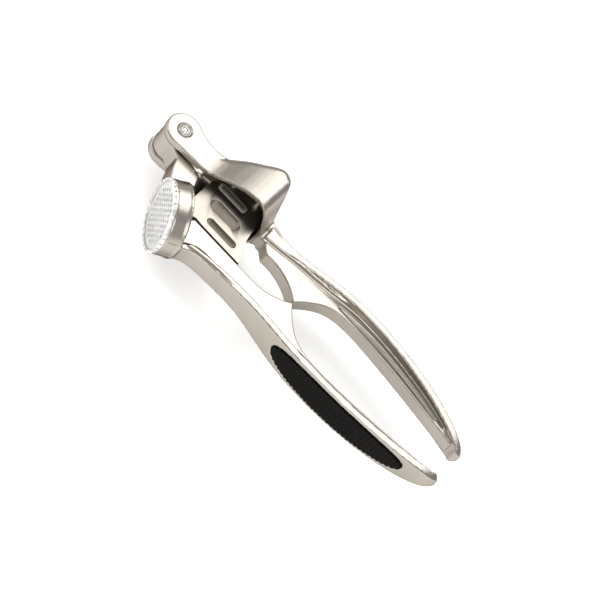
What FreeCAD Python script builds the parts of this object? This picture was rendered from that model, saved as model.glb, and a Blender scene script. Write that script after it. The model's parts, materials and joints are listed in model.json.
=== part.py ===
import FreeCAD, Part
import math
import os
import Sketcher
from FreeCAD import Placement, Rotation, Vector

# Garlic press, closed and lying on its side.
# The pivot axis is Z. X runs along the handles, and the levers lie above and below a mid line in Y.
# Outlines are drawn about the press's own mid plane, then raised so that the lower cheek's
# outer face is at Z = 0.

SIZES = {
    # pivot
    "cheek_radius": 8.2,
    "cheek_half_width": 9.6,
    "cheek_thickness": 3.6,
    "washer_thickness": 0.35,
    "washer_radius": 8.0,
    "side_play": 0.05,
    "knuckle_radius": 7.7,
    "pin_radius": 2.35,
    "pin_head_radius": 3.1,
    "pin_head_thickness": 1.4,
    "bush_wall": 1.1,
    "running_clearance": 0.05,
    "press_clearance": 0.02,
    # handles
    "mid_line": 16.4,
    "handle_length": 174.8,
    "web_thickness": 7.2,
    "cusp_gap": 0.2,
    "channel_depth": 0.8,
    "root_step": 1.8,
    "lip_width": 1.3,
    "lip_height": 0.8,
    # basket
    "basket_reach": 37.5,
    "basket_bearing": 58.9,
    "bore_angle": 37.0,
    "basket_radius": 15.9,
    "basket_depth": 7.4,
    "basket_wall": 1.4,
    "rim_thickness": 1.0,
    "rim_overhang": 0.4,
    # sieve
    "sieve_thickness": 1.0,
    "sieve_wall": 0.6,
    "sieve_wall_height": 4.0,
    "sieve_fit": 0.05,
    "hole_radius": 0.75,
    "hole_pitch": 2.5,
    "plain_band": 1.2,
    "sieve_recess": 0.25,
    "notch_count": 32.0,
    "notch_width": 1.5,
    "notch_depth": 1.0,
    "ring_thickness": 1.2,
    # plunger
    "plunger_clearance": 0.75,
    "sweep_clearance": 0.9,
    "plunger_thickness": 2.2,
    "plunger_gap": 0.8,
    "stem_thickness": 7.2,
    "web_clearance": 0.5,
    "slot_length": 16.0,
    "slot_width": 3.6,
    "screw_radius": 1.6,
    "screw_head_radius": 3.0,
    "screw_head_height": 1.2,
    "screw_offset": 6.0,
    "stem_pin_radius": 1.5,
    # hood
    "hood_wall": 2.2,
    "hood_half_width": 16.6,
    "hood_height": 20.6,
    "hood_round": 4.6,
    # grips
    "grip_start": 88.6,
    "grip_length": 71.5,
    "grip_half_width": 7.0,
    "grip_depth": 1.3,
    "grip_proud": 0.5,
}

doc = FreeCAD.newDocument("garlic_press")
sheet = doc.addObject("Spreadsheet::Sheet", "sizes")
for row, (alias, value) in enumerate(SIZES.items(), start=1):
    sheet.set("A%d" % row, alias)
    sheet.set("B%d" % row, str(value))
    sheet.setAlias("B%d" % row, alias)
doc.recompute()


def size(alias):
    """The value that the sheet holds under this alias."""
    return float(sheet.get(alias))


def bind(thing, **expressions):
    """Bind properties of a document object to cells of the sheet."""
    for prop, expression in expressions.items():
        thing.setExpression(prop.replace("__", "."), expression)
    return thing


def outline(name, runs, upright=False):
    """A closed sketch: each run is a list of points, two for a line and more for a smooth curve."""
    sketch = doc.addObject("Sketcher::SketchObject", name)
    for run in runs:
        points = [Vector(x, y, 0) for x, y in run]
        if len(points) == 2:
            sketch.addGeometry(Part.LineSegment(points[0], points[1]))
        else:
            curve = Part.BSplineCurve()
            curve.interpolate(points)
            sketch.addGeometry(curve)
    if upright:
        sketch.Placement = Placement(Vector(0, 0, 0), Rotation(Vector(1, 0, 0), 90))
    return sketch


def open_runs(points):
    """Straight runs through a list of points, left open at the ends."""
    return [[points[i], points[i + 1]] for i in range(len(points) - 1)]


def polygon(points):
    """Straight runs that close a list of corners."""
    return open_runs(points + points[:1])


def extrude(name, profile, direction, forward, backward):
    """A solid from a closed sketch, both ways along a direction; the lengths are expressions."""
    solid = doc.addObject("Part::Extrusion", name)
    solid.Base = profile
    solid.DirMode = "Custom"
    solid.Dir = direction
    solid.Solid = True
    return bind(solid, LengthFwd=forward, LengthRev=backward)


def plate(name, runs, half_thickness):
    """A flat plate centred on the mid plane."""
    return extrude(name, outline(name + "_outline", runs), Vector(0, 0, 1), half_thickness, half_thickness)


def cylinder(name, radius, height, base=Vector(0, 0, 0), turn=Rotation()):
    """A cylinder whose radius and height are expressions."""
    solid = doc.addObject("Part::Cylinder", name)
    solid.Placement = Placement(base, turn)
    return bind(solid, Radius=radius, Height=height)


def fuse(name, *shapes):
    solid = doc.addObject("Part::MultiFuse", name)
    solid.Shapes = list(shapes)
    solid.Refine = True
    return solid


def common(name, *shapes):
    solid = doc.addObject("Part::MultiCommon", name)
    solid.Shapes = list(shapes)
    return solid


def cut(name, base, *tools):
    """The base less each tool in turn."""
    for index, tool in enumerate(tools):
        last = index == len(tools) - 1
        solid = doc.addObject("Part::Cut", name if last else "%s_step_%d" % (name, index))
        solid.Base = base
        solid.Tool = tool
        base = solid
    return base


SUBPARTS = []


def subpart(solid, label):
    """Name a finished piece and raise it from the mid plane to its place."""
    solid.Label = label
    solid.setExpression("Placement.Base.z", "sizes.cheek_half_width")
    SUBPARTS.append(solid)
    return solid


# ---- places worked out from the sizes ----

BORE_ANGLE = math.radians(size("bore_angle"))
BEARING = math.radians(-size("basket_bearing"))
SIEVE_CENTRE = Vector(math.cos(BEARING), math.sin(BEARING), 0) * size("basket_reach")
BORE_AXIS = Vector(math.cos(BORE_ANGLE), math.sin(BORE_ANGLE), 0)
DISC_AXIS = Vector(math.sin(BORE_ANGLE), -math.cos(BORE_ANGLE), 0)
BORE_TURN = Rotation(DISC_AXIS, Vector(0, 0, -1), BORE_AXIS, "ZXY")
BORE_RADIUS = size("basket_radius") - size("basket_wall")
MID = size("mid_line")
LENGTH = size("handle_length")


def in_basket(along, across):
    """A point in the XY plane: along the bore from the sieve, and across the disc away from the pivot."""
    point = SIEVE_CENTRE + BORE_AXIS * along + DISC_AXIS * across
    return (point.x, point.y)


def bore_cylinder(name, radius, height, start):
    """A cylinder on the basket's axis that starts this far along it."""
    base = SIEVE_CENTRE + BORE_AXIS * start
    return cylinder(name, radius, height, base, BORE_TURN)


# ---- handles: both levers share one profile, mirrored about the mid line ----

# distance of the outer face and of the web's inner edge from the mid line, along the handle
OUTER_FACE = [(65, 18.6), (77, 19.5), (92, 21.6), (110, 22.5), (125, 21.9), (140, 20.2), (155, 17.3),
              (165, 14.4)]
TIP = [(165, 14.4), (170, 12.4), (173.4, 10.3), (174.6, 8.8), (173.6, 7.7), (170.5, 8.5)]
INNER_FACE = [(170.5, 8.5), (156, 13.2), (140, 16.6), (125, 18.5), (110, 19.2), (92, 18.3), (77, 16.2),
              (65, 15.3)]
EYE_EDGE = [(60, 7.1), (67, 7.0), (74, 5.0), (81.5, 0.0)]
FINGER_EDGE = [(81.5, 0.0), (87.5, 7.2), (94, 12.0), (104, 14.2), (118, 13.9), (134, 12.6), (150, 10.8),
               (160, 9.6), (168, 8.7)]
# half widths of a strap along the handle
LEAF = [(50, 4.8), (75, 6.4), (92, 8.0), (112, 8.7), (130, 8.4), (150, 7.4), (164, 5.9), (171, 4.3),
        (174, 2.4), (174.8, 0.0)]
# the hollow of a strap and the buried edges of the web and of its root, as distances from the mid line
HOLLOW_FACE = [(76, 16.1), (92, 18.3), (110, 19.2), (125, 18.5), (140, 16.6), (156, 13.2), (162, 11.4)]
WEB_BURIED = [(168, 9.9), (158, 13.6), (140, 17.3), (125, 19.4), (110, 20.4), (92, 19.7), (77, 17.6),
              (66, 16.9)]
ROOT_EDGES = {1: [(54, 12.0), (61, 12.8), (70, 14.5), (80, 15.8), (92, 17.9), (104, 19.9)],
              -1: [(35, 18.9), (42, 17.3), (50, 16.0), (60, 15.1), (70, 15.1), (80, 16.0), (92, 17.9),
                   (104, 19.9)]}
ROOT_BURIED = {1: [(104, 20.2), (92, 19.7), (77, 17.6), (66, 16.9), (54, 18.4)],
               -1: [(104, 20.2), (92, 19.7), (77, 17.6), (66, 17.2), (50, 17.8), (36, 20.3)]}
PROFILE_LENGTH = 174.8


def handle_run(run, side, extra=0.0):
    """A run of the shared profile, placed on the upper side (+1) or the lower side (-1) of the mid line."""
    stretch = LENGTH / PROFILE_LENGTH
    return [(x * stretch, -MID + side * (gap + extra)) for x, gap in run]


def strap(name, side, head_outer, head_inner):
    """The curved outer strap of a handle: its side profile met with a leaf-shaped plan."""
    runs = [head_outer + handle_run(OUTER_FACE, side), handle_run(TIP, side)]
    runs.append(handle_run(INNER_FACE, side) + head_inner)
    runs.append([head_inner[-1], head_outer[0]])
    body = plate(name + "_side", runs, "30 mm")
    widths = [(x * LENGTH / PROFILE_LENGTH, half) for x, half in LEAF]
    start = (head_outer[0][0] - 12.0, widths[0][1])
    mirrored = [(x, -half) for x, half in reversed(widths)]
    leaf_runs = [[start, widths[0]], widths, mirrored, [mirrored[-1], (start[0], -start[1])]]
    leaf_runs.append([(start[0], -start[1]), start])
    leaf = extrude(name + "_leaf", outline(name + "_leaf_outline", leaf_runs, True),
                   Vector(0, 1, 0), "90 mm", "90 mm")
    full = common(name + "_full", body, leaf)
    return cut(name, full, strap_hollow(name, side))


def strap_hollow(name, side):
    """The shallow hollow along a strap's inner face, which leaves a lip on both edges."""
    stretch = LENGTH / PROFILE_LENGTH
    depth = size("lip_height")
    deep = handle_run(HOLLOW_FACE, side, depth)
    shallow = handle_run(list(reversed(HOLLOW_FACE)), side, -4.0)
    side_runs = [deep, [deep[-1], shallow[0]], shallow, [shallow[-1], deep[0]]]
    body = plate(name + "_hollow_side", side_runs, "30 mm")
    widths = [(x * stretch, half - size("lip_width")) for x, half in LEAF[1:-1]]
    mirrored = [(x, -half) for x, half in reversed(widths)]
    runs = [widths, [widths[-1], mirrored[0]], mirrored, [mirrored[-1], widths[0]]]
    plan = extrude(name + "_hollow_plan", outline(name + "_hollow_outline", runs, True),
                   Vector(0, 1, 0), "90 mm", "90 mm")
    return common(name + "_hollow", body, plan)


def web(name, side, head):
    """The flat web of a lever: nutcracker cusp, finger edge and its join with the strap."""
    cusp = size("cusp_gap") / 2
    runs = [handle_run(EYE_EDGE, side, cusp), handle_run(FINGER_EDGE, side, cusp)]
    inside = handle_run(WEB_BURIED, side)
    runs.append([runs[-1][-1], inside[0]])
    runs.append(inside)
    runs += open_runs([inside[-1]] + head + [runs[0][0]])
    return plate(name, runs, "sizes.web_thickness / 2")


def grip_run(side, offset):
    """The outer face of a handle along its grip, moved outwards by an offset."""
    start = size("grip_start")
    end = start + size("grip_length")
    xs = [start + (end - start) * step / 5.0 for step in range(6)]
    curve = Part.BSplineCurve()
    curve.interpolate([Vector(x, y, 0) for x, y in handle_run(OUTER_FACE + TIP[1:3], side)])
    points = []
    for x in xs:
        line = Part.Line(Vector(x, -500, 0), Vector(x, 500, 0)).toShape(-500, 500)
        hit = curve.toShape().distToShape(line)[1][0][0]
        points.append((x, hit.y + side * offset))
    return points


# the grip's plan, as shares of its length and of its half width
GRIP_SHAPE = [(0.0, 0.0), (0.008, 0.26), (0.04, 0.52), (0.12, 0.78), (0.28, 0.96), (0.48, 1.0), (0.7, 0.93),
              (0.87, 0.72), (0.965, 0.44), (0.993, 0.22), (1.0, 0.0)]


def grip_plan(name, inset):
    """The grip's leaf-shaped plan, as a tall column; inset narrows it all round."""
    half = size("grip_half_width") - inset
    start = size("grip_start") + inset
    length = size("grip_length") - 2 * inset
    front = [(start + share * length, width * half) for share, width in GRIP_SHAPE]
    back = [(x, -z) for x, z in reversed(front)]
    return extrude(name, outline(name + "_outline", [front, back], True), Vector(0, 1, 0), "90 mm", "90 mm")


def grip_slab(name, side, low, high, inset):
    """A curved slab that follows the handle's outer face between two depths."""
    outer = grip_run(side, high)
    inner = list(reversed(grip_run(side, low)))
    runs = [outer, [outer[-1], inner[0]], inner, [inner[-1], outer[0]]]
    return common(name, plate(name + "_side", runs, "30 mm"), grip_plan(name + "_plan", inset))


# ---- lower lever ----

def lower_lever():
    knuckle = extrude("knuckle", disc("knuckle_disc", "knuckle_radius"), Vector(0, 0, 1),
                      knuckle_half(), knuckle_half())
    edge = size("basket_radius") - 0.5
    depth = size("basket_depth")
    arm_corners = [(5.5, -4.0), (17.8, -8.0), in_basket(depth + 4.08, 0.88 - edge),
                   in_basket(depth, 0.6 - edge),
                   in_basket(0.4, -edge), (7.8, -14.6), (6.0, -9.6), (1.0, -7.0)]
    arm = plate("arm", polygon(arm_corners), knuckle_half())
    barrel = bore_cylinder("basket_barrel", "sizes.basket_radius", "sizes.basket_depth", 0.0)
    rim = bore_cylinder("basket_rim", "sizes.basket_radius + sizes.rim_overhang", "sizes.rim_thickness",
                        size("basket_depth") - size("rim_thickness"))
    head_outer = [in_basket(0.6, edge), in_basket(4.7, edge + 0.1), in_basket(11.5, edge + 0.4),
                  (50.0, -35.9)]
    head_inner = [(50.0, -32.4), in_basket(14.0, edge - 2.9), in_basket(8.7, edge - 3.4),
                  in_basket(0.7, edge - 3.7)]
    back = strap("lower_strap", -1, head_outer, head_inner)
    blade = web("lower_web", -1, [(36.0, -35.6), (30.0, -38.0), in_basket(size("basket_depth") - 1.0, 2.0),
                                  (29.8, -MID - 7.2)])
    solid = fuse("lower_blank", knuckle, arm, barrel, rim, back, blade, root("lower", -1))
    bore = bore_cylinder("basket_bore", "sizes.basket_radius - sizes.basket_wall",
                         "sizes.basket_depth * 2", -size("basket_depth") * 0.98)
    bush_hole = cylinder("bush_hole", "sizes.pin_radius + sizes.running_clearance + sizes.bush_wall", "60 mm",
                         Vector(0, 0, -30))
    seat = grip_slab("lower_seat", -1, -size("grip_depth"), 5.0, 0.0)
    ring_room = bore_cylinder("ring_room", "sizes.basket_radius + 0.4", "8 mm", -8.0)
    tools = [bore, bush_hole, seat, ring_room, plunger_sweep(), channel("lower", -1)]
    subpart(cut("lower_casting", solid, *tools), "lower_lever")


def plunger_sweep():
    """The ring that the plunger plate sweeps about the pivot, less the fork that straddles the web."""
    ring = doc.addObject("Part::Torus", "sweep_ring")
    ring.Placement = Placement(Vector(0, 0, 0), Rotation(Vector(0, 0, 1), -66.0))
    bind(ring, Radius1="sizes.basket_reach", Radius2=plunger_radius() + " + sizes.sweep_clearance",
         Angle3="60 deg")
    slab = doc.addObject("Part::Box", "sweep_slab")
    slab.Placement = Placement(Vector(-100, -100, 0), Rotation())
    bind(slab, Length="200 mm", Width="200 mm", Height="sizes.web_thickness + 2 * sizes.web_clearance - 0.1")
    slab.setExpression("Placement.Base.z", "-(sizes.web_thickness / 2 + sizes.web_clearance - 0.05)")
    return cut("plunger_sweep", ring, slab)


def plunger_radius():
    """The plunger plate's radius: the basket's bore less the sieve's wall and the clearance."""
    return ("sizes.basket_radius - sizes.basket_wall - sizes.sieve_wall - sizes.sieve_fit"
            " - sizes.plunger_clearance")


def root(name, side):
    """A thicker root where the web runs into its strap, ahead of the finger gap."""
    inner = handle_run(ROOT_EDGES[side], side)
    buried = handle_run(ROOT_BURIED[side], side)
    runs = [inner, [inner[-1], buried[0]], buried, [buried[-1], inner[0]]]
    return plate(name + "_root", runs, "sizes.web_thickness / 2 + sizes.root_step")


# the sunk channel along a handle's web, as distances from the mid line
CHANNEL_OUTER = [(96, 16.2), (104, 17.4), (112, 18.0), (125, 17.4), (140, 15.6), (156.5, 12.1)]
CHANNEL_INNER = [(156.5, 11.0), (140, 13.0), (125, 14.4), (112, 15.0), (104, 15.2), (96, 15.6)]


def channel(name, side):
    """A shallow channel in both faces of a web, between its two edge beads."""
    runs = [handle_run(CHANNEL_OUTER, side), handle_run(CHANNEL_INNER, side)]
    runs.insert(1, [runs[0][-1], runs[1][0]])
    runs.append([runs[2][-1], runs[0][0]])
    deep = plate(name + "_channel_tall", runs, "30 mm")
    core = plate(name + "_channel_core", polygon([(0, -80), (200, -80), (200, 40), (0, 40)]),
                 "sizes.web_thickness / 2 - sizes.channel_depth")
    return cut(name + "_channel", deep, core)


def disc(name, alias):
    """A round sketch on the pivot axis, its radius held by the sheet."""
    sketch = doc.addObject("Sketcher::SketchObject", name)
    sketch.addGeometry(Part.Circle(Vector(0, 0, 0), Vector(0, 0, 1), size(alias)))
    sketch.addConstraint(Sketcher.Constraint("Coincident", 0, 3, -1, 1))
    sketch.addConstraint(Sketcher.Constraint("Radius", 0, size(alias)))
    sketch.setExpression("Constraints[1]", "sizes." + alias)
    return sketch


def knuckle_half():
    """Half the knuckle's width, between the two washers."""
    return "sizes.cheek_half_width - sizes.cheek_thickness - sizes.washer_thickness - sizes.side_play"


# ---- upper lever ----

def hood(name, wall, floor):
    """The flared hood: its side profile met with its plan, both drawn in by a wall for the inside."""
    top = size("hood_height") - wall
    half = size("hood_half_width") - wall
    narrow = size("cheek_half_width") - wall
    side_points = [(13.0 + wall, 4.9 - wall), (18.0 + wall, 5.9 - wall), (26.0 + wall, 11.9 - wall),
                   (34.0 + wall / 2, 17.2 - wall), (40.5, top), (44.0 - wall / 2, top - 1.0)]
    back_top = (48.6 - wall, 11.0 - wall / 2)
    back_low = (52.6 - wall, 3.4 - wall / 2)
    rim = [(52.6 - wall, floor + 2.6), (42.0, floor + 4.4), (30.0, floor + 3.4), (18.0, floor + 0.6),
           (13.0 + wall, floor)]
    corners = [side_points[-1], back_top, back_low, rim[0]]
    side_runs = [side_points] + open_runs(corners) + [rim, [rim[-1], side_points[0]]]
    front = [(13.0 + wall, narrow), (18.0, narrow + 0.2), (28.0, 12.9 - wall), (37.0, 15.6 - wall),
             (43.0, half)]
    back = [(43.0, half), (46.4, half - 1.6), (50.0 - wall / 2, 8.4), (53.0 - wall, 4.2)]
    plan_runs = [front, back, [back[-1], (back[-1][0], -back[-1][1])]]
    plan_runs.append([(x, -z) for x, z in reversed(back)])
    plan_runs.append([(x, -z) for x, z in reversed(front)])
    plan_runs.append([(front[0][0], -narrow), (front[0][0], narrow)])
    tall = extrude(name + "_tall", outline(name + "_side", side_runs), Vector(0, 0, 1), "40 mm", "40 mm")
    plan = outline(name + "_plan", plan_runs, True)
    wide = extrude(name + "_wide", plan, Vector(0, 1, 0), "60 mm", "60 mm")
    block = common(name + "_block", tall, wide)
    doc.recompute()
    radius = size("hood_round") - wall
    ridge = [index for index, edge in enumerate(block.Shape.Edges, start=1)
             if edge.BoundBox.XLength > 20 and edge.BoundBox.YMax > 12]
    rounded = doc.addObject("Part::Fillet", name)
    rounded.Base = block
    rounded.Edges = [(index, radius, radius) for index in ridge]
    return rounded


def upper_lever():
    cheeks = extrude("cheeks_round", disc("cheek_disc", "cheek_radius"), Vector(0, 0, 1),
                     "sizes.cheek_half_width", "sizes.cheek_half_width")
    radius = size("cheek_radius")
    neck = [(0.0, radius), (7.0, 6.0), (13.0, 4.9), (20.0, 6.4)]
    corners = [neck[-1], (20.0, -7.0), (13.0, -7.4), (0.0, -radius), neck[0]]
    arms = plate("cheek_arms", [neck] + open_runs(corners), "sizes.cheek_half_width")
    shell = hood("hood_outer", 0.0, -7.4)
    hollow = hood("hood_inner", size("hood_wall"), -14.0)
    gap = plate("knuckle_gap", polygon([(-20.0, -20.0), (17.5, -20.0), (17.5, 20.0), (-20.0, 20.0)]),
                "sizes.cheek_half_width - sizes.cheek_thickness")
    head_outer = [(50.0, 5.6), (56.0, 3.6)]
    head_inner = [(56.0, 0.0), (50.0, 1.4)]
    back = strap("upper_strap", 1, head_outer, head_inner)
    blade = web("upper_web", 1, [(56.0, 1.6), (51.6, 2.2), (51.6, -5.0), (55.8, -5.4)])
    crown = cut("hood_shell", shell, hollow)
    front = cut("cheek_pair", fuse("cheek_blank", cheeks, arms), gap, hollow)
    solid = fuse("upper_blank", front, cut("hood_open", crown, gap), back, blade, root("upper", 1))
    pin_hole = cylinder("pin_hole", "sizes.pin_radius + sizes.press_clearance", "60 mm", Vector(0, 0, -30))
    seats = [cylinder("head_seat_%d" % end, "sizes.pin_head_radius + sizes.press_clearance",
                      "sizes.pin_head_thickness + 5") for end in (0, 1)]
    seats[0].setExpression("Placement.Base.z", "sizes.cheek_half_width - sizes.pin_head_thickness")
    seats[1].setExpression("Placement.Base.z", "-sizes.cheek_half_width - 5")
    seat = grip_slab("upper_seat", 1, -size("grip_depth"), 5.0, 0.0)
    tools = seats + [pin_hole, seat, channel("upper", 1)]
    subpart(cut("upper_casting", solid, *tools), "upper_lever")


# ---- pivot ----

def tube(name, outer, inner, height, start):
    """A short tube on the pivot axis; every argument but the name is an expression."""
    body = cylinder(name + "_outside", outer, height)
    hole = cylinder(name + "_inside", inner, height)
    body.setExpression("Placement.Base.z", start)
    hole.setExpression("Placement.Base.z", start)
    return cut(name, body, hole)


def pivot_pieces():
    shank = cylinder("pin_shank", "sizes.pin_radius", "2 * sizes.cheek_half_width")
    shank.setExpression("Placement.Base.z", "-sizes.cheek_half_width")
    head = cylinder("pin_head", "sizes.pin_head_radius", "sizes.pin_head_thickness")
    head.setExpression("Placement.Base.z", "-sizes.cheek_half_width")
    subpart(fuse("pin", shank, head), "pivot_pin")
    collar = tube("collar", "sizes.pin_head_radius", "sizes.pin_radius + sizes.press_clearance",
                  "sizes.pin_head_thickness", "sizes.cheek_half_width - sizes.pin_head_thickness")
    subpart(collar, "pin_collar")
    running = "sizes.pin_radius + sizes.running_clearance"
    half = knuckle_half()
    bush = tube("bush", running + " + sizes.bush_wall - sizes.press_clearance", running,
                "2 * (%s)" % half, "-(%s)" % half)
    subpart(bush, "pivot_bush")
    cheek_inside = "sizes.cheek_half_width - sizes.cheek_thickness"
    upper = tube("washer_a", "sizes.washer_radius", running, "sizes.washer_thickness",
                 cheek_inside + " - sizes.washer_thickness")
    subpart(upper, "thrust_washer_upper")
    lower = tube("washer_b", "sizes.washer_radius", running, "sizes.washer_thickness", "-(%s)" % cheek_inside)
    subpart(lower, "thrust_washer_lower")


# ---- sieve ----

def sieve_pieces():
    fit = "sizes.basket_radius - sizes.basket_wall - sizes.sieve_fit"
    face = sieve_face()
    floor = bore_cylinder("sieve_floor", fit, "sizes.sieve_thickness", face)
    wall = bore_cylinder("sieve_wall_outside", fit, "sizes.sieve_wall_height", face)
    hollow = bore_cylinder("sieve_hollow", fit + " - sizes.sieve_wall", "sizes.sieve_wall_height",
                           face + size("sieve_thickness"))
    cup = fuse("sieve_cup", floor, cut("sieve_ring_wall", wall, hollow))
    holes = doc.addObject("Part::Feature", "sieve_holes")
    holes.Shape = perforations()
    subpart(cut("sieve_plate", cup, holes), "sieve")
    outside = bore_cylinder("ring_outside", "sizes.basket_radius", "sizes.ring_thickness",
                            -size("ring_thickness"))
    inside = bore_cylinder("ring_inside", fit + " + 2 * sizes.sieve_fit", "sizes.ring_thickness * 2",
                           -size("ring_thickness") * 1.5)
    teeth = doc.addObject("Part::Feature", "ring_notches")
    teeth.Shape = ring_notches()
    subpart(cut("toothed_ring", outside, inside, teeth), "sieve_ring")


def sieve_face():
    """How far along the bore the sieve's outer face lies: a little inside the toothed ring's."""
    return size("sieve_recess") - size("ring_thickness")


def on_bore(shape, start):
    """Place a shape made about Z on the basket's axis."""
    shape.Placement = Placement(SIEVE_CENTRE + BORE_AXIS * start, BORE_TURN)
    return shape


def perforations():
    """Round holes on a triangular grid, with a plain band left at the edge."""
    pitch = size("hole_pitch")
    limit = BORE_RADIUS - size("sieve_wall") - size("hole_radius") - size("plain_band")
    depth = size("sieve_thickness") * 3
    tools = []
    rows = int(limit / pitch) + 2
    for row in range(-rows, rows + 1):
        for column in range(-rows, rows + 1):
            x = (column + 0.5 * (row % 2)) * pitch
            y = row * pitch * math.sin(math.radians(60))
            if math.hypot(x, y) <= limit:
                tools.append(Part.makeCylinder(size("hole_radius"), depth, Vector(x, y, -depth / 2)))
    return on_bore(Part.makeCompound(tools), sieve_face() + size("sieve_thickness") / 2)


def ring_notches():
    """Notches across the ring's outer edge, which leave its teeth."""
    count = int(size("notch_count"))
    width = size("notch_width")
    depth = size("notch_depth")
    tools = []
    for index in range(count):
        block = Part.makeBox(2 * depth, width, size("ring_thickness"))
        block.translate(Vector(size("basket_radius") - depth, -width / 2, 0))
        block.rotate(Vector(0, 0, 0), Vector(0, 0, 1), 360.0 * index / count)
        tools.append(block)
    return on_bore(Part.makeCompound(tools), -size("ring_thickness") * 1.2)


# ---- plunger ----

def off_bore(name, radius, height, start):
    """A cylinder along the bore, set towards the pivot by the screw's own offset."""
    solid = bore_cylinder(name, radius, height, start)
    solid.Placement.Base = SIEVE_CENTRE + BORE_AXIS * start - DISC_AXIS * size("screw_offset")
    return solid


def plunger_pieces():
    start = sieve_face() + size("sieve_thickness") + size("plunger_gap")
    back = start + size("plunger_thickness")
    head_height = "sizes.screw_head_height"
    loose_screw = "sizes.screw_radius + sizes.press_clearance"
    disc_plate = bore_cylinder("plunger_disc", plunger_radius(), "sizes.plunger_thickness", start)
    fork_block = plate("fork_block", polygon([(5.0, -80.0), (70.0, -80.0), (70.0, 0.0), (5.0, 0.0)]),
                       "sizes.web_thickness / 2 + sizes.web_clearance")
    fork_keep = cylinder("fork_keep", "sizes.basket_reach - 0.6", "80 mm", Vector(0, 0, -40))
    fork = cut("fork", fork_block, fork_keep)
    screw_hole = off_bore("screw_hole", loose_screw, "40 mm", start - 1.0)
    head_seat = off_bore("screw_seat", "sizes.screw_head_radius + sizes.press_clearance", head_height, start)
    subpart(cut("plunger_plate_cut", disc_plate, fork, screw_hole, head_seat), "plunger_plate")

    # the stem's flat lower edge clears the lower web's nutcracker edge
    floor_y = -MID - 7.1 + size("cusp_gap") + 0.2
    corners = [in_basket(back, 3.0 - BORE_RADIUS), in_basket(12.88, 2.78 - BORE_RADIUS), (22.6, -3.0),
               (27.0, 6.0), (36.0, 10.5), (44.0, 10.5),
               (48.4, -3.0), (50.2, -12.0), (55.0, floor_y), (33.0, floor_y),
               (29.4, floor_y + 0.3), in_basket(back, -3.5)]
    stem = plate("stem_plate", polygon(corners), "sizes.stem_thickness / 2")
    narrow = size("slot_width")
    slots = [stem_slot("stem_slot_upper", 25.6, -1.8, narrow),
             stem_slot("stem_slot_middle", 28.6, -10.6, narrow + 2.2),
             stem_slot("stem_slot_lower", 33.0, -18.6, narrow)]
    stem_hole = off_bore("stem_screw_hole", loose_screw, "11 mm", back - 1.0)
    pins = [(30.0, 4.2), (42.0, 6.0)]
    pin_holes = [cylinder("stem_pin_hole_%d" % i, "sizes.stem_pin_radius + sizes.press_clearance", "60 mm",
                          Vector(x, y, -30))
                 for i, (x, y) in enumerate(pins)]
    subpart(cut("stem_cut", stem, *(slots + [stem_hole] + pin_holes)), "plunger_stem")
    pair = [cylinder("stem_pin_%d" % i, "sizes.stem_pin_radius", "sizes.stem_thickness + 6", Vector(x, y, 0))
            for i, (x, y) in enumerate(pins)]
    for pin in pair:
        pin.setExpression("Placement.Base.z", "-(sizes.stem_thickness / 2 + 3)")
    subpart(fuse("stem_pin_pair", *pair), "stem_pins")
    shank = off_bore("screw_shank", "sizes.screw_radius", "sizes.plunger_thickness + 8",
                     start + size("screw_head_height"))
    head = off_bore("screw_head", "sizes.screw_head_radius", head_height, start)
    subpart(fuse("plunger_screw_solid", shank, head), "plunger_screw")


def stem_slot(name, x, y, width):
    """A long slot with round ends, through the stem."""
    half = width / 2
    far = x + size("slot_length") - half
    near = x + half
    arc = [math.radians(-90 + 22.5 * step) for step in range(9)]
    far_end = [(far + half * math.cos(turn), y + half * math.sin(turn)) for turn in arc]
    near_end = [(near - half * math.cos(turn), y - half * math.sin(turn)) for turn in arc]
    runs = [far_end, [far_end[-1], near_end[0]], near_end, [near_end[-1], far_end[0]]]
    return plate(name, runs, "20 mm")


# ---- grips ----

def grips():
    for label, side in (("lower_grip", -1), ("upper_grip", 1)):
        slab = grip_slab(label + "_slab", side, -size("grip_depth"), size("grip_proud"), 0.05)
        subpart(slab, label)


lower_lever()
upper_lever()
pivot_pieces()
sieve_pieces()
plunger_pieces()
grips()
doc.recompute()

for thing in doc.Objects:
    if "Invalid" in thing.State or "Error" in thing.State:
        raise RuntimeError("%s failed: %s" % (thing.Name, thing.State))
os.makedirs("parts", exist_ok=True)
for piece in SUBPARTS:
    shape = piece.Shape
    if shape.isNull() or not shape.isValid() or not shape.Solids:
        raise RuntimeError("%s is not a valid solid" % piece.Label)
    print("%-22s solids %d  volume %9.1f mm3" % (piece.Label, len(shape.Solids), shape.Volume))
    shape.exportStep("parts/%s.step" % piece.Label)
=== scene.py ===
"""Dresses the garlic press for viewing.

+X runs along the closed handles and +Z along the pivot. The upper lever swings about the pivot,
and carries the plunger with it.
"""
import json
import math

import bpy
from bpy.props import FloatProperty, FloatVectorProperty, IntProperty, PointerProperty
from bpy.types import Operator, Panel, PropertyGroup
from mathutils import Matrix, Vector


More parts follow.
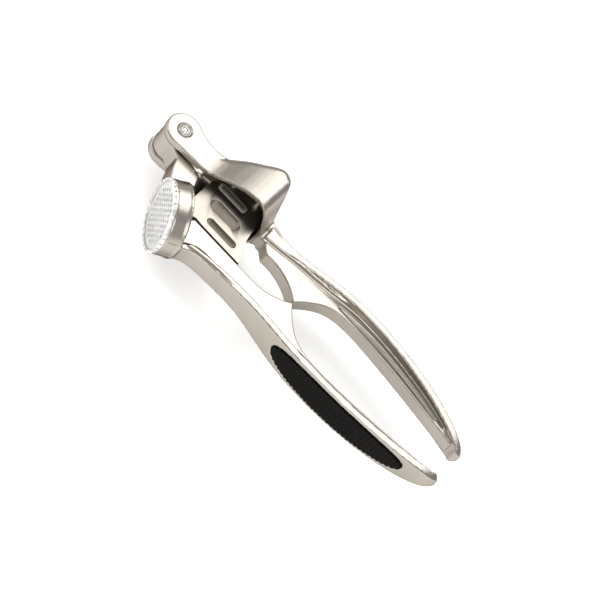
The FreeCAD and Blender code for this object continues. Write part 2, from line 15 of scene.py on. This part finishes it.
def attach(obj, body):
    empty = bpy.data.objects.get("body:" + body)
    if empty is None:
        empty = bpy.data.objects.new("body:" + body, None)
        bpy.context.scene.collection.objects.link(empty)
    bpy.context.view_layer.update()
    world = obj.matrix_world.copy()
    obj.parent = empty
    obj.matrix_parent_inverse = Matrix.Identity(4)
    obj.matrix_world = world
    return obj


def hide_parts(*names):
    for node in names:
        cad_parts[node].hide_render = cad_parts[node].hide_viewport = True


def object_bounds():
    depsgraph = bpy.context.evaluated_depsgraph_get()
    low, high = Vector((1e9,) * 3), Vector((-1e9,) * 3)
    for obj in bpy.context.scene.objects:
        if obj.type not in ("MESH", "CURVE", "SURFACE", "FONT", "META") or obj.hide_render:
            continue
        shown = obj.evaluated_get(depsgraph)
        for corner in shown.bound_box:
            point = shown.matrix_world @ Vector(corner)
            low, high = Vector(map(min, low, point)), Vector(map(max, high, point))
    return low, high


bl_info = {
    "name": "Garlic press",
    "version": (1, 0, 0),
    "blender": (4, 5, 0),
    "location": "View3D > Sidebar > Press",
    "description": "Dresses the packed garlic press: cast levers, sieve, plunger, pivot, grips and stage",
    "category": "Object",
}

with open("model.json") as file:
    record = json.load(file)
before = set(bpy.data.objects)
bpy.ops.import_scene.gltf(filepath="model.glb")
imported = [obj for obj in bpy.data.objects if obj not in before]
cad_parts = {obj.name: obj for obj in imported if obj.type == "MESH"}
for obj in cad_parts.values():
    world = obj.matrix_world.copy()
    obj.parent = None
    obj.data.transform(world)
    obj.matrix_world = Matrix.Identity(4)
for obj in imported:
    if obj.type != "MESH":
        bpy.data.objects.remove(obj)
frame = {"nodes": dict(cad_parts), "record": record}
CAD_BOX = [list(corner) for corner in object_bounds()]

MM = 0.001
LOWER = "lower_handle_body"
UPPER = "upper_handle_body"
JOINTS = {joint["name"]: joint for joint in frame["record"]["behaviour"]["joints"]}
PIVOT = Vector(JOINTS["lever_hinge"]["pos_m"])

# mesh work
MERGE_DISTANCE = 0.002 * MM
FLAT_ANGLE = math.radians(0.5)
BEVEL_ANGLE = math.radians(30.0)
SHADE_ANGLE = math.radians(40.0)

# below 1, a rib is wider than the groove beside it
RIB_FULLNESS = 0.6

# depths of the surface relief
POLISH_DEPTH = 0.012 * MM
PORE_DEPTH = 0.010 * MM
RUBBER_GRAIN_DEPTH = 0.03 * MM
LATHE_DEPTH = 0.01 * MM
DIMPLE_DEPTH = 0.4 * MM
DIMPLE_SPAN = 3.0 * MM
MOULDED_DEPTH = 0.02 * MM

# colours that have no setting of their own
EDGE_TINT = (0.20, 0.18, 0.18, 1.0)
DUST = (0.018, 0.016, 0.013)
WHITE = (1.0, 1.0, 1.0)
SIDE_LIGHT = (1.0, 0.99, 0.97)
ROOM_LIGHT = (1.0, 0.99, 0.98)

# places of node sockets, in Blender's own order
OBJECT_SPACE = 3
SECOND_OUTPUT = 1
MIX_FACTOR, MIX_FIRST, MIX_SECOND, MIX_COLOUR = 0, 6, 7, 2

# stage, in metres
MIDDLE = (0.08, -0.02, 0.0)
FLOOR_SIZE = 6.0
FLOOR_GAP = 0.2 * MM


# ---- settings a user would change ----

class CastingSettings(PropertyGroup):
    voxel: FloatProperty(name="Voxel", description="Grain of the remeshed casting", default=0.42 * MM,
                         unit="LENGTH", precision=5)
    passes: IntProperty(name="Smoothing passes", default=7,
                        description="How far the cast edges are rounded")
    colour: FloatVectorProperty(name="Metal", description="Warm pearl-nickel metal", subtype="COLOR",
                                default=(0.47, 0.435, 0.385))
    roughness: FloatProperty(name="Roughness", description="Satin polish", default=0.26)


class PlungerSettings(PropertyGroup):
    plate_voxel: FloatProperty(name="Plate voxel", description="Grain of the remeshed plate",
                               default=0.22 * MM, unit="LENGTH", precision=5)
    plate_passes: IntProperty(name="Plate smoothing", default=3,
                              description="How far the plate's edges are rounded")
    bevel: FloatProperty(name="Bevel", description="Width of the broken edges", default=0.6 * MM,
                         unit="LENGTH", precision=5)
    turned_bevel: FloatProperty(name="Turned bevel", description="Chamfer on the pins and the screw",
                                default=0.15 * MM, unit="LENGTH", precision=5)
    colour: FloatVectorProperty(name="Metal", description="The plunger's own, slightly darker metal",
                                subtype="COLOR", default=(0.46, 0.42, 0.365))
    steel: FloatVectorProperty(name="Steel", description="Steel of the pins and the screw", subtype="COLOR",
                               default=(0.62, 0.61, 0.59))
    roughness: FloatProperty(name="Roughness", description="Dull satin", default=0.3)
    grain: FloatProperty(name="Grain", description="Depth of the polished grain, as a share of the levers'",
                         default=1.6)


class SieveSettings(PropertyGroup):
    colour: FloatVectorProperty(name="Stainless", description="Bright neutral stainless", subtype="COLOR",
                                default=(0.93, 0.93, 0.925))
    bevel: FloatProperty(name="Bevel", description="Width of the broken edges", default=0.12 * MM,
                         unit="LENGTH", precision=5)
    roughness: FloatProperty(name="Roughness", description="Bright, lightly brushed", default=0.34)
    grain: FloatProperty(name="Grain", description="Depth of the polished grain, as a share of the levers'",
                         default=0.8)


class PivotSettings(PropertyGroup):
    bevel: FloatProperty(name="Bevel", description="Chamfer on the pin's ends and the collar",
                         default=0.48 * MM, unit="LENGTH", precision=5)
    washer_bevel: FloatProperty(name="Washer bevel", description="Chamfer on the washers",
                                default=0.06 * MM, unit="LENGTH", precision=5)
    bush_bevel: FloatProperty(name="Bush bevel", description="Chamfer on the bush", default=0.1 * MM,
                              unit="LENGTH", precision=5)
    colour: FloatVectorProperty(name="Steel", description="Turned steel of the pin", subtype="COLOR",
                                default=(0.52, 0.50, 0.47))
    bush_colour: FloatVectorProperty(name="Bush", description="Natural acetal of the bush", subtype="COLOR",
                                     default=(0.80, 0.77, 0.70))


class GripSettings(PropertyGroup):
    voxel: FloatProperty(name="Voxel", description="Grain of the remeshed grip", default=0.28 * MM,
                         unit="LENGTH", precision=5)
    passes: IntProperty(name="Smoothing passes", default=3,
                        description="How far the grip's edges are rounded")
    pitch: FloatProperty(name="Rib pitch", description="Distance between the cross ribs", default=2.1 * MM,
                         unit="LENGTH", precision=5)
    height: FloatProperty(name="Rib height", description="How far a rib stands up", default=0.5 * MM,
                          unit="LENGTH", precision=5)
    colour: FloatVectorProperty(name="Rubber", description="Near-black rubber", subtype="COLOR",
                                default=(0.0032, 0.0026, 0.0018))


class StageSettings(PropertyGroup):
    elevation: FloatProperty(name="Elevation", default=math.radians(51.0), subtype="ANGLE",
                             description="Camera's height above the floor plane, as an angle")
    roll: FloatProperty(name="Roll", description="How far the handles slope down to the right",
                        default=math.radians(46.5), subtype="ANGLE")
    width: FloatProperty(name="Framed width", description="Width that the view spans", default=246.6 * MM,
                         unit="LENGTH")
    distance: FloatProperty(name="Distance", description="Camera to object", default=1.3, unit="LENGTH")
    along: FloatProperty(name="Aim along", default=82.7 * MM, unit="LENGTH",
                         description="Centre of the view along the handles, from the pivot")
    across: FloatProperty(name="Aim across", default=-7.8 * MM, unit="LENGTH",
                          description="Centre of the view across the handles, from the pivot")
    floor_colour: FloatVectorProperty(name="Floor", description="Plain pale floor", subtype="COLOR",
                                      default=(0.97, 0.97, 0.965))
    floor_glow: FloatProperty(name="Floor glow", default=0.4,
                              description="Light that the floor gives of itself")
    key_power: FloatProperty(name="Key", default=17.5, description="Power of the overhead soft box")
    side_power: FloatProperty(name="Side", default=4.0, description="Power of the box at the pivot's end")
    fill_power: FloatProperty(name="Fill", default=8.0, description="Power of the box by the camera")
    room_strength: FloatProperty(name="Room", default=0.38, description="Light from all round")


class PressSettings(PropertyGroup):
    casting: PointerProperty(type=CastingSettings)
    plunger: PointerProperty(type=PlungerSettings)
    sieve: PointerProperty(type=SieveSettings)
    pivot: PointerProperty(type=PivotSettings)
    grip: PointerProperty(type=GripSettings)
    stage: PointerProperty(type=StageSettings)


# ---- shader helpers ----

class Signal:
    """A shader socket that adds up and multiplies like a number."""

    def __init__(self, material, socket):
        self.material = material
        self.socket = socket

    def _maths(self, operation, first, second):
        node = self.material.node("ShaderNodeMath", {"operation": operation}, {0: first, 1: second})
        return node[0]

    def __add__(self, other):
        return self._maths("ADD", self, other)

    def __radd__(self, other):
        return self._maths("ADD", other, self)

    def __mul__(self, other):
        return self._maths("MULTIPLY", self, other)


class Finish:
    """A procedural material on Object coordinates."""

    def __init__(self, name):
        self.data = bpy.data.materials.new(name)
        self.data.use_nodes = True
        self.tree = self.data.node_tree
        self.shader = self.tree.nodes["Principled BSDF"]
        self.place = self.node("ShaderNodeTexCoord", {}, {})[OBJECT_SPACE]

    def node(self, kind, settings, values):
        """Add a node, set its settings and inputs, and return its outputs as signals."""
        node = self.tree.nodes.new(kind)
        for key, value in settings.items():
            if key == "stops":
                self._ramp(node, value)
            else:
                setattr(node, key, value)
        for key, value in values.items():
            if isinstance(value, Signal):
                self.tree.links.new(value.socket, node.inputs[key])
            else:
                node.inputs[key].default_value = value
        return [Signal(self, socket) for socket in node.outputs]

    def _ramp(self, node, stops):
        """Give a colour ramp its stops, each a position and a grey level."""
        elements = node.color_ramp.elements
        while len(elements) < len(stops):
            elements.new(0.5)
        for element, (position, level) in zip(elements, stops):
            element.position = position
            element.color = (level, level, level, 1.0)

    def noise(self, scale, detail, stretch=(1.0, 1.0, 1.0)):
        """Noise at a scale per metre; a stretch below 1 draws it out along that axis."""
        spot = self.node("ShaderNodeMapping", {}, {"Vector": self.place, "Scale": stretch})[0]
        return self.node("ShaderNodeTexNoise", {}, {"Vector": spot, "Scale": scale, "Detail": detail})[0]

    def ramp(self, signal, *stops):
        """A signal pulled between stops, each a position and a level."""
        return self.node("ShaderNodeValToRGB", {"stops": stops}, {0: signal})[0]

    def blend(self, factor, first, second):
        """A colour between two, by a factor."""
        mixed = self.node("ShaderNodeMix", {"data_type": "RGBA"},
                          {MIX_FACTOR: factor, MIX_FIRST: (*first, 1.0), MIX_SECOND: (*second, 1.0)})
        return mixed[MIX_COLOUR]

    def bump(self, signal, depth, strength=1.0, under=None):
        """A bump whose depth is in metres, laid over another."""
        values = {"Height": signal, "Distance": depth, "Strength": strength}
        if under is not None:
            values["Normal"] = under
        return self.node("ShaderNodeBump", {}, values)[0]

    def set(self, **values):
        """Constants and signals on the shader's own sockets, named with underscores for spaces."""
        for key, value in values.items():
            socket = self.shader.inputs[key.replace("_", " ")]
            if isinstance(value, Signal):
                self.tree.links.new(value.socket, socket)
            else:
                socket.default_value = value
        return self


def tint(colour, factor):
    """A colour made darker or lighter by a factor."""
    return tuple(channel * factor for channel in colour)


def satin_metal(name, colour, roughness, grain=1.0):
    """Satin-polished metal: slow colour drift, faint handling smudges and a fine polished grain."""
    finish = Finish(name)
    drift = finish.ramp(finish.noise(scale=38.0, detail=2.0), (0.35, 0.0), (0.65, 1.0))
    handled = finish.noise(scale=95.0, detail=5.0, stretch=(0.6, 1.0, 1.0))
    smudge = finish.ramp(handled, (0.42, 0.0), (0.72, 1.0))
    polish = finish.noise(scale=1400.0, detail=4.0, stretch=(0.25, 1.0, 1.0))
    pores = finish.noise(scale=3800.0, detail=2.0)
    base = finish.blend(drift, tint(colour, 0.95), tint(colour, 1.04))
    finish.set(Base_Color=base, Metallic=1.0, Roughness=roughness + smudge * 0.07 + polish * 0.05,
               Specular_Tint=EDGE_TINT)
    polished = finish.bump(polish, POLISH_DEPTH * grain, strength=0.6)
    finish.set(Normal=finish.bump(pores, PORE_DEPTH * grain, strength=0.5, under=polished))
    return finish.data


def ribbed_rubber(name, colour):
    """Matt rubber: mould grain, patches of paler dust and a soft sheen."""
    finish = Finish(name)
    grain = finish.noise(scale=2600.0, detail=4.0)
    dust = finish.ramp(finish.noise(scale=420.0, detail=5.0), (0.55, 0.0), (0.85, 1.0))
    base = finish.blend(dust * 0.35, colour, DUST)
    finish.set(Base_Color=base, Roughness=0.58 + dust * 0.25, Specular_IOR_Level=0.08)
    finish.set(Normal=finish.bump(grain, RUBBER_GRAIN_DEPTH, strength=0.6))
    return finish.data


def turned_steel(name, colour, centre):
    """Steel turned on a lathe: fine rings about the pivot axis and a riveting dimple in the middle."""
    finish = Finish(name)
    spot = finish.node("ShaderNodeMapping", {}, {"Vector": finish.place, "Location": tuple(-centre)})[0]
    rings = finish.node("ShaderNodeTexWave", {"wave_type": "RINGS", "rings_direction": "Z"},
                        {"Vector": spot, "Scale": 900.0, "Distortion": 0.6, "Detail": 2.0})[SECOND_OUTPUT]
    flat = finish.node("ShaderNodeVectorMath", {"operation": "MULTIPLY"}, {0: spot, 1: (1.0, 1.0, 0.0)})[0]
    radius = finish.node("ShaderNodeVectorMath", {"operation": "LENGTH"}, {0: flat})[SECOND_OUTPUT]
    dimple = finish.ramp(radius * (1.0 / DIMPLE_SPAN), (0.30, 0.5), (0.42, 0.0), (0.52, 0.0), (0.60, 1.0))
    mottled = finish.noise(scale=600.0, detail=3.0)
    base = finish.blend(mottled, tint(colour, 0.9), colour)
    finish.set(Base_Color=base, Metallic=1.0, Roughness=0.24 + mottled * 0.12, Specular_Tint=EDGE_TINT)
    sunk = finish.bump(dimple, DIMPLE_DEPTH)
    finish.set(Normal=finish.bump(rings, LATHE_DEPTH, strength=0.6, under=sunk))
    return finish.data


def acetal(name, colour):
    """Slightly translucent natural plastic with a moulded skin."""
    finish = Finish(name)
    skin = finish.noise(scale=1500.0, detail=3.0)
    cloud = finish.noise(scale=300.0, detail=2.0)
    base = finish.blend(cloud, tint(colour, 0.94), colour)
    finish.set(Base_Color=base, Roughness=0.38 + skin * 0.12, Subsurface_Weight=0.12)
    finish.set(Normal=finish.bump(skin, MOULDED_DEPTH, strength=0.5))
    return finish.data


# ---- mesh helpers ----

def only(piece):
    """Deselect everything, then select and activate one object."""
    if bpy.context.object and bpy.context.object.mode != "OBJECT":
        bpy.ops.object.mode_set(mode="OBJECT")
    bpy.ops.object.select_all(action="DESELECT")
    piece.select_set(True)
    bpy.context.view_layer.objects.active = piece


def edit_whole(piece, operation, **settings):
    """Run one mesh operator on everything in a piece."""
    only(piece)
    bpy.ops.object.mode_set(mode="EDIT")
    bpy.ops.mesh.select_all(action="SELECT")
    operation(**settings)
    bpy.ops.object.mode_set(mode="OBJECT")


def copy_of(node, name):
    """A merged copy of a CAD node's mesh, as a new piece."""
    source = frame["nodes"][node]
    piece = bpy.data.objects.new(name, source.data.copy())
    piece.data.name = name
    bpy.context.scene.collection.objects.link(piece)
    edit_whole(piece, bpy.ops.mesh.remove_doubles, threshold=MERGE_DISTANCE)
    return piece


def apply_modifier(piece, kind, **settings):
    """Add a modifier, set it and apply it."""
    only(piece)
    modifier = piece.modifiers.new(kind.lower(), kind)
    for key, value in settings.items():
        setattr(modifier, key, value)
    bpy.ops.object.modifier_apply(modifier=modifier.name)


def dress(piece, material, body, *nodes):
    """Give a finished piece its only material, its body and the CAD nodes it stands for."""
    piece.data.materials.clear()
    piece.data.materials.append(material)
    for polygon in piece.data.polygons:
        polygon.material_index = 0
    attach(piece, body)
    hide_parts(*nodes)


def smooth(piece, angle=None):
    """Smooth shading all over, or up to an angle."""
    only(piece)
    if angle is None:
        bpy.ops.object.shade_smooth()
    else:
        bpy.ops.object.shade_smooth_by_angle(angle=angle)


def cast_skin(node, name, voxel, passes):
    """A casting with its edges melted round: the CAD shape remeshed finely and relaxed."""
    piece = copy_of(node, name)
    apply_modifier(piece, "REMESH", mode="VOXEL", voxel_size=voxel, adaptivity=0.0)
    apply_modifier(piece, "SMOOTH", factor=0.5, iterations=passes)
    smooth(piece)
    return piece


def bevelled(node, name, width, segments=3):
    """A CAD shape with its edges broken."""
    piece = copy_of(node, name)
    edit_whole(piece, bpy.ops.mesh.dissolve_limited, angle_limit=FLAT_ANGLE)
    apply_modifier(piece, "BEVEL", width=width, segments=segments, limit_method="ANGLE",
                   angle_limit=BEVEL_ANGLE, use_clamp_overlap=True)
    smooth(piece, SHADE_ANGLE)
    return piece


# ---- operators ----

class PRESS_OT_castings(Operator):
    """Cover both levers with soft-edged satin castings"""
    bl_idname = "press.castings"
    bl_label = "Castings"

    def execute(self, context):
        settings = context.scene.press.casting
        metal = satin_metal("pearl_nickel", tuple(settings.colour), settings.roughness)
        for node, body in (("lower_lever", LOWER), ("upper_lever", UPPER)):
            piece = cast_skin(node, node + "_casting", settings.voxel, settings.passes)
            dress(piece, metal, body, node)
        return {"FINISHED"}


class PRESS_OT_plunger(Operator):
    """Soften the edges of the plunger's stem, plate, pins and screw"""
    bl_idname = "press.plunger"
    bl_label = "Plunger"

    def execute(self, context):
        settings = context.scene.press.plunger
        metal = satin_metal("plunger_metal", tuple(settings.colour), settings.roughness, settings.grain)
        steel = satin_metal("pin_steel", tuple(settings.steel), settings.roughness)
        dress(bevelled("plunger_stem", "plunger_stem_cast", settings.bevel), metal, UPPER, "plunger_stem")
        plate = cast_skin("plunger_plate", "plunger_plate_cast", settings.plate_voxel,
                          settings.plate_passes)
        dress(plate, metal, UPPER, "plunger_plate")
        for node in ("stem_pins", "plunger_screw"):
            dress(bevelled(node, node + "_turned", settings.turned_bevel), steel, UPPER, node)
        return {"FINISHED"}


class PRESS_OT_sieve(Operator):
    """Finish the perforated sieve and the toothed ring round it"""
    bl_idname = "press.sieve"
    bl_label = "Sieve"

    def execute(self, context):
        settings = context.scene.press.sieve
        stainless = satin_metal("bright_stainless", tuple(settings.colour), settings.roughness,
                                settings.grain)
        for node in ("sieve", "sieve_ring"):
            dress(bevelled(node, node + "_pressed", settings.bevel, segments=2), stainless, LOWER, node)
        return {"FINISHED"}


class PRESS_OT_pivot(Operator):
    """Finish the pivot pin, its collar, the washers and the bush"""
    bl_idname = "press.pivot"
    bl_label = "Pivot"

    def execute(self, context):
        settings = context.scene.press.pivot
        steel = turned_steel("turned_steel", tuple(settings.colour), PIVOT)
        plastic = acetal("acetal", tuple(settings.bush_colour))
        for node in ("pivot_pin", "pin_collar"):
            dress(bevelled(node, node + "_turned", settings.bevel), steel, UPPER, node)
        for node in ("thrust_washer_upper", "thrust_washer_lower"):
            dress(bevelled(node, node + "_ground", settings.washer_bevel), steel, UPPER, node)
        bush = bevelled("pivot_bush", "pivot_bush_moulded", settings.bush_bevel)
        dress(bush, plastic, LOWER, "pivot_bush")
        return {"FINISHED"}


class PRESS_OT_grips(Operator):
    """Rib both rubber grips across"""
    bl_idname = "press.grips"
    bl_label = "Grips"

    def execute(self, context):
        settings = context.scene.press.grip
        rubber = ribbed_rubber("grip_rubber", tuple(settings.colour))
        for node, body, side in (("lower_grip", LOWER, -1.0), ("upper_grip", UPPER, 1.0)):
            piece = cast_skin(node, node + "_ribbed", settings.voxel, settings.passes)
            rib(piece, side, settings)
            dress(piece, rubber, body, node)
        return {"FINISHED"}


def rib(piece, side, settings):
    """Lift the outward skin of a grip into even cross ribs."""
    mesh = piece.data
    turn = 2.0 * math.pi / settings.pitch
    moves = []
    for vertex in mesh.vertices:
        outward = max(0.0, vertex.normal.y * side)
        wave = 0.5 + 0.5 * math.cos(vertex.co.x * turn)
        moves.append(vertex.normal * (settings.height * outward * (wave ** RIB_FULLNESS - 0.5)))
    for vertex, move in zip(mesh.vertices, moves):
        vertex.co += move
    mesh.update()


class PRESS_OT_stage(Operator):
    """Lay the floor, hang the lights and set the camera"""
    bl_idname = "press.stage"
    bl_label = "Stage"

    def execute(self, context):
        settings = context.scene.press.stage
        place_camera(context, settings)
        lay_floor(settings)
        hang_lights(context, settings)
        return {"FINISHED"}


def place_camera(context, settings):
    """Aim from the open side, high up, with the handles sloping down across the view."""
    away = Vector((0.0, -math.cos(settings.elevation), math.sin(settings.elevation)))
    across = Vector((0.0, math.sin(settings.elevation), math.cos(settings.elevation)))
    along = Vector((1.0, 0.0, 0.0))
    right = along * math.cos(settings.roll) + across * math.sin(settings.roll)
    up = across * math.cos(settings.roll) - along * math.sin(settings.roll)
    target = PIVOT + along * settings.along + across * settings.across
    camera = bpy.data.cameras.new("camera")
    camera.sensor_width = 36.0
    camera.lens = camera.sensor_width * settings.distance / settings.width
    holder = bpy.data.objects.new("camera", camera)
    turned = Matrix((right, up, away)).transposed().to_4x4()
    holder.matrix_world = Matrix.Translation(target + away * settings.distance) @ turned
    context.scene.collection.objects.link(holder)
    context.scene.camera = holder


def lay_floor(settings):
    """A wide pale floor just under the press."""
    low = CAD_BOX[0][2] - FLOOR_GAP
    bpy.ops.object.select_all(action="DESELECT")
    bpy.ops.mesh.primitive_plane_add(size=FLOOR_SIZE, location=(MIDDLE[0], 0.0, low))
    floor = bpy.context.object
    floor.name = "floor"
    bpy.ops.object.transform_apply(location=True, rotation=True, scale=True)
    finish = Finish("pale_floor")
    colour = tuple(settings.floor_colour)
    cloud = finish.noise(scale=6.0, detail=2.0)
    finish.set(Base_Color=finish.blend(cloud, tint(colour, 0.99), colour), Roughness=0.9,
               Specular_IOR_Level=0.1, Emission_Color=(*WHITE, 1.0), Emission_Strength=settings.floor_glow)
    floor.data.materials.append(finish.data)


def area_light(context, name, position, size, power, colour=WHITE):
    """A square soft box at a position, pointed at the middle of the press."""
    light = bpy.data.lights.new(name, "AREA")
    light.shape = "SQUARE"
    light.size = size
    light.energy = power
    light.color = colour
    holder = bpy.data.objects.new(name, light)
    direction = Vector(MIDDLE) - Vector(position)
    holder.rotation_euler = direction.to_track_quat("-Z", "Y").to_euler()
    holder.location = position
    context.scene.collection.objects.link(holder)


def hang_lights(context, settings):
    """An overhead soft box behind the press, one at its pivot end, a fill by the camera and a dim room."""
    area_light(context, "key_box", position=(0.08, 0.95, 1.25), size=1.5, power=settings.key_power)
    area_light(context, "side_box", position=(-1.0, -0.1, 0.9), size=0.9, power=settings.side_power,
               colour=SIDE_LIGHT)
    area_light(context, "front_fill", position=(0.5, -1.2, 1.0), size=1.0, power=settings.fill_power)
    world = bpy.data.worlds.new("room")
    world.use_nodes = True
    background = world.node_tree.nodes["Background"]
    background.inputs["Color"].default_value = (*ROOM_LIGHT, 1.0)
    background.inputs["Strength"].default_value = settings.room_strength
    context.scene.world = world
    context.scene.view_settings.view_transform = "Standard"


class PRESS_PT_panel(Panel):
    """The press's steps, in the 3D view's sidebar"""
    bl_idname = "PRESS_PT_panel"
    bl_label = "Garlic press"
    bl_space_type = "VIEW_3D"
    bl_region_type = "UI"
    bl_category = "Press"

    def draw(self, context):
        for step in STEPS:
            self.layout.operator(step.bl_idname)


STEPS = (PRESS_OT_stage, PRESS_OT_castings, PRESS_OT_plunger, PRESS_OT_sieve, PRESS_OT_pivot,
         PRESS_OT_grips)
CLASSES = (CastingSettings, PlungerSettings, SieveSettings, PivotSettings, GripSettings, StageSettings,
           PressSettings, *STEPS, PRESS_PT_panel)


def register():
    for cls in CLASSES:
        bpy.utils.register_class(cls)
    bpy.types.Scene.press = PointerProperty(type=PressSettings)


def unregister():
    del bpy.types.Scene.press
    for cls in reversed(CLASSES):
        bpy.utils.unregister_class(cls)


def main():
    register()
    bpy.ops.press.stage()
    bpy.ops.press.castings()
    bpy.ops.press.plunger()
    bpy.ops.press.sieve()
    bpy.ops.press.pivot()
    bpy.ops.press.grips()


if __name__ == "__main__":
    main()
